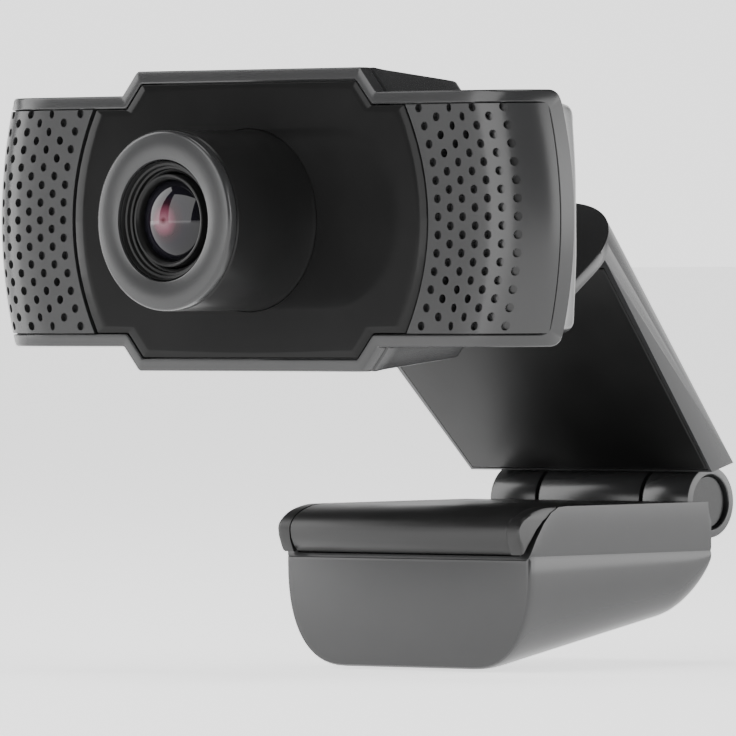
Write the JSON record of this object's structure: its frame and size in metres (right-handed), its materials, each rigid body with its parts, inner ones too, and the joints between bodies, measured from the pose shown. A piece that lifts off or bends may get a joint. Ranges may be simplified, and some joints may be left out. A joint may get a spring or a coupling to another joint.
{
  "type": "clip-on webcam",
  "caption": "Clip-on webcam: wide stepped head with a lens barrel and perforated sides on a tilt-and-swivel neck, bent clip arm and hinged padded foot.",
  "frame": {"origin": "centre of the flat top face of the foot's grip pad", "axes": "+Z out of the pad's face, -Y the way the lens looks, +X along the head's width"},
  "size_m": [0.08, 0.0761, 0.0642],
  "materials": {
    "plastic_shell": "satin, fine texture",
    "gloss_black": "polished",
    "soft_grip": "matt",
    "lens_glass": "coated",
    "steel": "satin",
    "brass": "satin",
    "board_green": "solder mask",
    "black_plastic": "matt"
  },
  "bodies": {
    "foot": {"foot_shell": "plastic_shell", "foot_pad": "soft_grip", "hinge_pin": "steel", "tripod_insert": "brass"},
    "arm": {"clip_arm": "plastic_shell", "arm_pad": "soft_grip", "arm_cover": "plastic_shell", "left_hinge_cap": "plastic_shell", "right_hinge_cap": "plastic_shell"},
    "neck": {"neck": "plastic_shell", "swivel_nut": "steel"},
    "head": {"front_bezel": "plastic_shell", "left_grille": "plastic_shell", "right_grille": "plastic_shell", "rear_housing": "plastic_shell", "lens_front_ring": "plastic_shell", "face_panel": "gloss_black", "lens_barrel": "gloss_black", "lens_hood": "gloss_black", "lens_cell": "gloss_black", "cable_inlet": "soft_grip", "front_glass": "lens_glass", "inner_lens": "lens_glass", "housing_screw_1": "steel", "housing_screw_2": "steel", "housing_screw_3": "steel", "housing_screw_4": "steel", "tilt_pin": "steel", "main_board": "board_green", "lens_holder": "black_plastic", "image_sensor": "black_plastic", "left_microphone": "black_plastic", "right_microphone": "black_plastic"}
  },
  "joints": [
    {"name": "clip_hinge", "type": "hinge", "parent": "foot", "child": "arm", "pos_m": [0, 0.0179, -0.00015], "axis": [1, 0, 0], "range_deg": [-130, 32]},
    {"name": "head_swivel", "type": "hinge", "parent": "arm", "child": "neck", "pos_m": [0, -0.00982, 0.02576], "axis": [0, -0.5678, 0.8231], "range_deg": [-20, 20]},
    {"name": "head_tilt", "type": "hinge", "parent": "neck", "child": "head", "pos_m": [0, -0.0202, 0.02975], "axis": [1, 0, 0], "range_deg": [-28, 16]}
  ]
}
